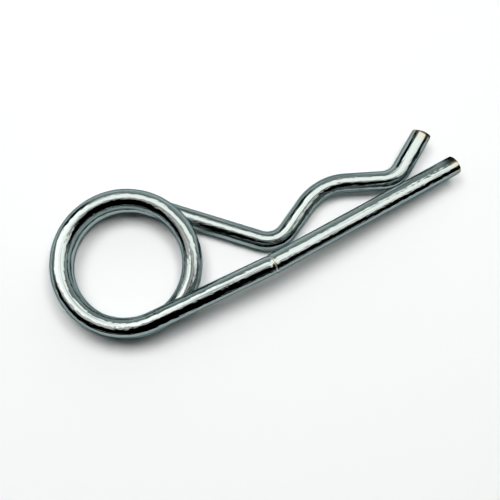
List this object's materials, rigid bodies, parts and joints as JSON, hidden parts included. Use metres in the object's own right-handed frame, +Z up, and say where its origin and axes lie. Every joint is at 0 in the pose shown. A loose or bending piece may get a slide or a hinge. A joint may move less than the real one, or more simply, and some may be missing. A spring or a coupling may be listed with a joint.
{
  "type": "hitch r clip pin",
  "caption": "Bent wire R clip (hairpin cotter) with a straight leg, a double coil and a wavy grip leg, lying on its side.",
  "frame": {"origin": "the point where the axis of the coil meets the floor the clip lies on", "axes": "+X along the straight leg towards its tip, seen from above; +Z up, square to the floor; +Y across, away from the wavy leg's throat"},
  "size_m": [0.0835, 0.0318, 0.0107],
  "materials": {
    "wire": "bright zinc plated spring steel wire"
  },
  "bodies": {
    "root": {"r_clip": "wire"}
  },
  "joints": []
}
